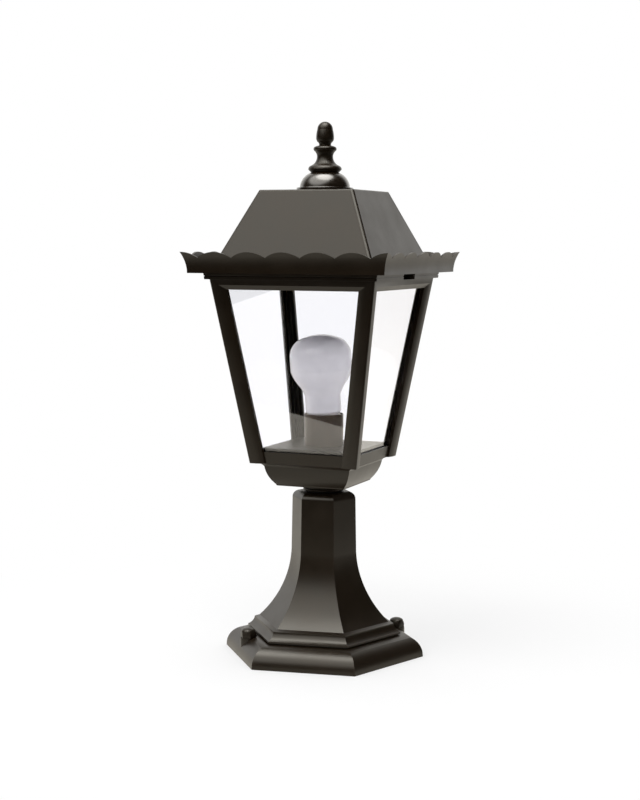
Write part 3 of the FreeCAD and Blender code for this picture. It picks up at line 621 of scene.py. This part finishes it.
class LAMP_OT_stage(bpy.types.Operator):
    """Sets the paper floor, the studio light and the camera"""

    bl_idname = "lamp.stage"
    bl_label = "Stage"

    # Patches of the surroundings that only the gloss sees. Each has its direction, the cosines where it
    # starts and where it is full, and its strength: a wall behind, a box above the front, a light overhead
    PATCHES = (
        ((-0.4226, 0.9063, 0), 0.35, 0.7, 1.15),
        ((-0.2, -0.45, 0.87), 0.68, 0.88, 3.9),
        ((0.04, -0.12, 0.99), 0.86, 0.95, 8.0),
    )
    # Tints of the floor and of the patches in the gloss
    FLOOR_TINT = (1, 0.945, 0.83, 1)
    PATCH_TINT = (1, 0.98, 0.94, 1)
    # Fill light, its gain for each face of glass that it passed, and its gain towards the back
    FILL, FILL_GLAZING, FILL_BACK = 0.88, 0.28, 0.5

    KEY_SPOT = Vector((-0.15, -0.9, 1.65))
    KEY_AIM = Vector((0, 0, 0.4))

    CAMERA_SPOT = Vector((0.57272, -1.37594, 0.39014))
    CAMERA_AIM = Vector((0, 0, 0.24087))
    CAMERA_ROLL = math.radians(0.19)
    CAMERA_SHIFT = -0.00528
    LENS_MM, SENSOR_MM = 71.52, 36

    def execute(self, context):
        scene = context.scene
        scene.view_settings.view_transform = "Standard"
        self.floor(scene)
        self.surroundings(scene)
        self.key_box(scene)
        self.camera(scene)
        return {"FINISHED"}

    def sight(self, tree):
        """Light path values: seen straight or through the panes, seen with no diffuse bounce before,
        and the number of glass faces passed."""
        path = add(tree, "ShaderNodeLightPath").outputs
        direct = maths(tree, "LESS_THAN", path["Diffuse Depth"], NO_BOUNCE)
        unmirrored = maths(tree, "LESS_THAN", path["Glossy Depth"], NO_BOUNCE)
        return maths(tree, "MULTIPLY", direct, unmirrored), direct, path["Transmission Depth"]

    def floor(self, scene):
        """Paper that turns to plain white away from the lamp, so that it meets the background unseen.

        The gloss sees it as a warm table: brighter to the front, and darker to the right and far off."""
        lamp = scene.pedestal_lamp
        near, far, half = lamp.stage.floor_near, lamp.stage.floor_far, lamp.stage.floor_half
        mesh = bpy.data.meshes.new("paper_floor")
        corners = [
            FRONT * ahead + SIDE * across
            for ahead, across in ((near, -half), (near, half), (-far, half), (-far, -half))
        ]
        mesh.from_pydata(corners, [], [(0, 1, 2, 3)])
        floor = bpy.data.objects.new("paper_floor", mesh)
        scene.collection.objects.link(floor)
        material, tree, shader, place = sockets("white_paper")
        shader.inputs["Base Color"].default_value = lamp.colours.floor
        shader.inputs["Roughness"].default_value = lamp.finishes.paper
        shader.inputs["Specular IOR Level"].default_value = 0.0
        clear, direct, glazing = self.sight(tree)
        reach = add(tree, "ShaderNodeVectorMath", {0: place}, operation="LENGTH").outputs["Value"]
        fade = ramp(tree, reach, start=0.12, end=0.5, low=0.45, high=1.0)
        ahead = ramp(tree, along(tree, place, FRONT), start=0.1, end=0.36, low=1.0, high=1.38)
        right = ramp(tree, along(tree, place, SIDE + FRONT), start=0.35, end=0.8, low=1.0, high=0.2)
        far_off = ramp(tree, reach, start=0.6, end=2.4, low=1.15, high=0.72)
        table = maths(tree, "MULTIPLY", maths(tree, "MULTIPLY", ahead, right), far_off)
        white = maths(tree, "MULTIPLY_ADD", glazing, GLAZING_GAIN, 1.0)
        glow = add(tree, "ShaderNodeEmission", {
            "Color": blend(tree, clear, self.FLOOR_TINT, WHITE, "RGBA"),
            "Strength": blend(tree, clear, table, white),
        })
        mixed_surface(tree, blend(tree, clear, direct, fade), shader, glow)
        mesh.materials.append(material)

    def surroundings(self, scene):
        """White behind the lamp for eye and glass, soft patches for the gloss, and fill for all else."""
        world = bpy.data.worlds.new("studio")
        scene.world = world
        world.use_nodes = True
        tree = world.node_tree
        clear, direct, glazing = self.sight(tree)
        way = add(tree, "ShaderNodeTexCoord").outputs["Generated"]
        shine = 0.0
        for direction, start, full, strength in self.PATCHES:
            patch = ramp(tree, along(tree, way, direction), start, full)
            shine = maths(tree, "MULTIPLY_ADD", patch, strength, shine)
        back = maths(tree, "MULTIPLY_ADD", along(tree, way, -FRONT), self.FILL_BACK, 1.0)
        fill = maths(tree, "MULTIPLY_ADD", glazing, self.FILL_GLAZING, self.FILL)
        fill = maths(tree, "MULTIPLY", fill, back)
        white = maths(tree, "MULTIPLY_ADD", glazing, GLAZING_GAIN, 1.0)
        strength = blend(tree, clear, blend(tree, direct, fill, shine), white)
        mirrored = maths(tree, "SUBTRACT", direct, clear)
        sky = tree.nodes["Background"]
        tree.links.new(blend(tree, mirrored, WHITE, self.PATCH_TINT, "RGBA"), sky.inputs["Color"])
        tree.links.new(strength, sky.inputs["Strength"])

    def facing(self, spot, aim):
        """Placing at a spot, turned to a point."""
        return Matrix.Translation(spot) @ (aim - spot).to_track_quat("-Z", "Y").to_matrix().to_4x4()

    def key_box(self, scene):
        """Soft box above the front, which lights the lamp without being seen or mirrored."""
        stage = scene.pedestal_lamp.stage
        data = bpy.data.lights.new("key_box", "AREA")
        data.shape = "RECTANGLE"
        data.size = stage.key_width
        data.size_y = stage.key_height
        data.energy = stage.key_power
        light = bpy.data.objects.new("key_box", data)
        scene.collection.objects.link(light)
        light.matrix_world = self.facing(self.KEY_SPOT, self.KEY_AIM)
        light.visible_camera = False
        light.visible_glossy = False

    def camera(self, scene):
        """Camera that sees the lamp as the photo does."""
        data = bpy.data.cameras.new("camera")
        data.sensor_width = self.SENSOR_MM
        data.lens = self.LENS_MM
        data.shift_x = self.CAMERA_SHIFT
        camera = bpy.data.objects.new("camera", data)
        scene.collection.objects.link(camera)
        roll = Matrix.Rotation(self.CAMERA_ROLL, 4, "Z")
        camera.matrix_world = self.facing(self.CAMERA_SPOT, self.CAMERA_AIM) @ roll
        scene.camera = camera


class LAMP_PT_panel(bpy.types.Panel):
    """Lists the lamp's settings and pieces"""

    bl_idname = "LAMP_PT_panel"
    bl_label = "Pedestal lamp"
    bl_space_type = "VIEW_3D"
    bl_region_type = "UI"
    bl_category = "Pedestal lamp"

    def draw(self, context):
        lamp = context.scene.pedestal_lamp
        for group in (lamp.colours, lamp.finishes, lamp.sizes, lamp.stage):
            for name in group.__annotations__:
                self.layout.prop(group, name)
        for operator in OPERATORS:
            self.layout.operator(operator.bl_idname)


OPERATORS = (
    LAMP_OT_castings, LAMP_OT_turnings, LAMP_OT_cap_nuts, LAMP_OT_panes,
    LAMP_OT_bulb, LAMP_OT_fittings, LAMP_OT_stage,
)
CLASSES = (LampColours, LampFinishes, LampSizes, LampStage, LampSettings, *OPERATORS, LAMP_PT_panel)


def register():
    """Makes the settings, operators and panel known to Blender."""
    for cls in CLASSES:
        bpy.utils.register_class(cls)
    bpy.types.Scene.pedestal_lamp = bpy.props.PointerProperty(
        name="Pedestal lamp", description="Settings of the pedestal lamp", type=LampSettings,
    )


def unregister():
    """Takes them away again."""
    del bpy.types.Scene.pedestal_lamp
    for cls in reversed(CLASSES):
        bpy.utils.unregister_class(cls)


def main():
    """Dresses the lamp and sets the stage."""
    register()
    bpy.ops.lamp.castings()
    bpy.ops.lamp.turnings()
    bpy.ops.lamp.cap_nuts()
    bpy.ops.lamp.panes()
    bpy.ops.lamp.bulb()
    bpy.ops.lamp.fittings()
    bpy.ops.lamp.stage()


if __name__ == "__main__":
    main()
